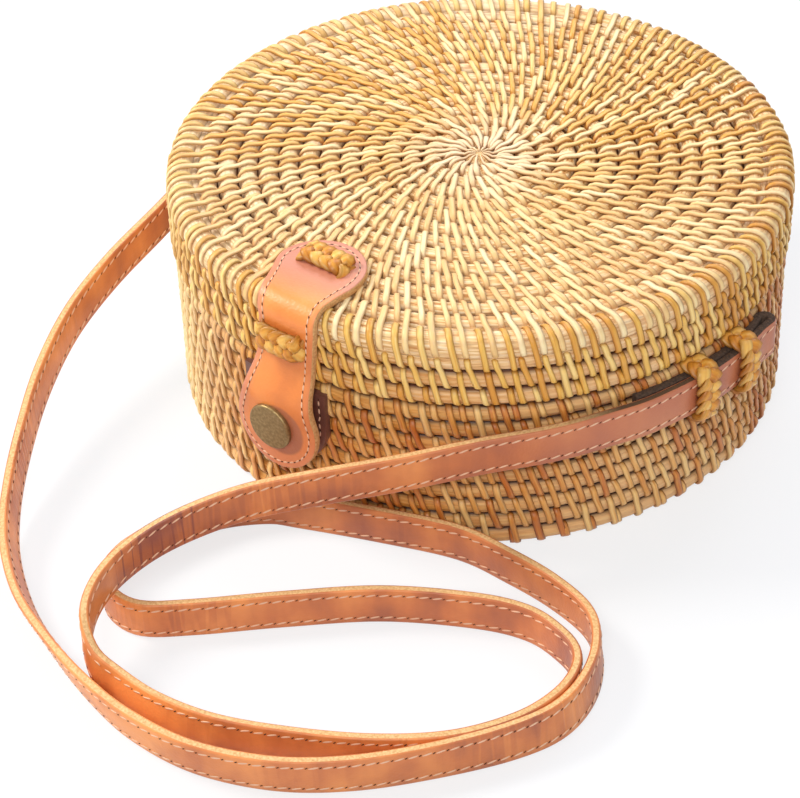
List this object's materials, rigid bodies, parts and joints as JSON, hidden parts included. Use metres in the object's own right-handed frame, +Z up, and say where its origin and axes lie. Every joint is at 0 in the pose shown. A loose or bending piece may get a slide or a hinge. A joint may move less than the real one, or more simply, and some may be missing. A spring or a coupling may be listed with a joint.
{
  "type": "round rattan shoulder bag",
  "caption": "Round shoulder bag of coiled, cane-wrapped rows with a hinged lid, a leather snap flap and a free leather strap.",
  "frame": {"origin": "centre of the foot ring, on the ground", "axes": "+Z up through the lid, -Y towards the flap and its snap, +Y towards the hinge, +X to the right of the flap"},
  "size_m": [0.2358, 0.3153, 0.086],
  "materials": {
    "cane_rows": "satin",
    "cane_hoop": "satin",
    "cane_ties": "satin",
    "lining_cloth": "matte",
    "flap_leather": "semi-gloss",
    "patch_leather": "satin",
    "strap_leather": "semi-gloss",
    "snap_brass": "aged satin"
  },
  "bodies": {
    "base": {"base_shell": "cane_rows", "base_rim_hoop": "cane_hoop", "base_lining": "lining_cloth", "stud_patch": "patch_leather", "snap_stud": "snap_brass", "hinge_tie_left": "cane_ties", "hinge_tie_right": "cane_ties", "strap_loop_right_front": "cane_ties", "strap_loop_right_rear": "cane_ties", "strap_loop_left_front": "cane_ties", "strap_loop_left_rear": "cane_ties", "strap_end_right": "strap_leather", "strap_end_left": "strap_leather", "strap": "strap_leather"},
    "lid": {"lid_shell": "cane_rows", "lid_rim_hoop": "cane_hoop", "lid_edge_hoop": "cane_hoop", "lid_lining": "lining_cloth", "flap_upper": "flap_leather", "flap_tie_top": "cane_ties", "flap_tie_waist": "cane_ties"},
    "flap": {"flap_lower": "flap_leather", "snap_cap": "snap_brass", "snap_socket": "snap_brass"}
  },
  "joints": [
    {"name": "lid_hinge", "type": "hinge", "parent": "base", "child": "lid", "pos_m": [0, 0.1006, 0.05515], "axis": [-1, 0, 0], "range_deg": [0, 110]},
    {"name": "flap_fold", "type": "hinge", "parent": "lid", "child": "flap", "pos_m": [0, -0.1015, 0.0618], "axis": [-1, 0, 0], "range_deg": [0, 90]}
  ]
}
